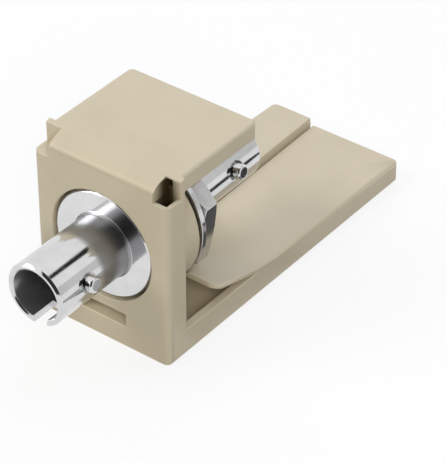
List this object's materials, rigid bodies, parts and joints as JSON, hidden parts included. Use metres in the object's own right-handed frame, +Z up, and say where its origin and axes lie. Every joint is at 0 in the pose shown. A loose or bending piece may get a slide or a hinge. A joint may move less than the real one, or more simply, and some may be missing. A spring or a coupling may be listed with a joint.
{
  "type": "st fibre adapter",
  "caption": "Bayonet fibre adapter with a barrel at each end, held by a nut and lock washer in a moulded snap-in housing with a hood above it and a long base plate behind.",
  "frame": {"origin": "under the middle of the whole part's box, on the plane that the base rests on", "axes": "+Y runs backward along the adapter, from the front barrel to the far end of the base plate; +X is the right side seen from the front; +Z is up"},
  "size_m": [0.017, 0.0508, 0.0217],
  "materials": {
    "housing_plastic": "fine satin moulding",
    "nickel_plate": "polished nickel plate on turned metal",
    "sleeve_bronze": "plain spring bronze",
    "holder_plastic": "plain moulding"
  },
  "bodies": {
    "root": {"housing": "housing_plastic", "front_body": "nickel_plate", "rear_barrel": "nickel_plate", "front_right_pin": "nickel_plate", "front_left_pin": "nickel_plate", "rear_right_pin": "nickel_plate", "rear_left_pin": "nickel_plate", "lock_washer": "nickel_plate", "panel_nut": "nickel_plate", "alignment_sleeve": "sleeve_bronze", "front_sleeve_holder": "holder_plastic", "rear_sleeve_holder": "holder_plastic"}
  },
  "joints": []
}
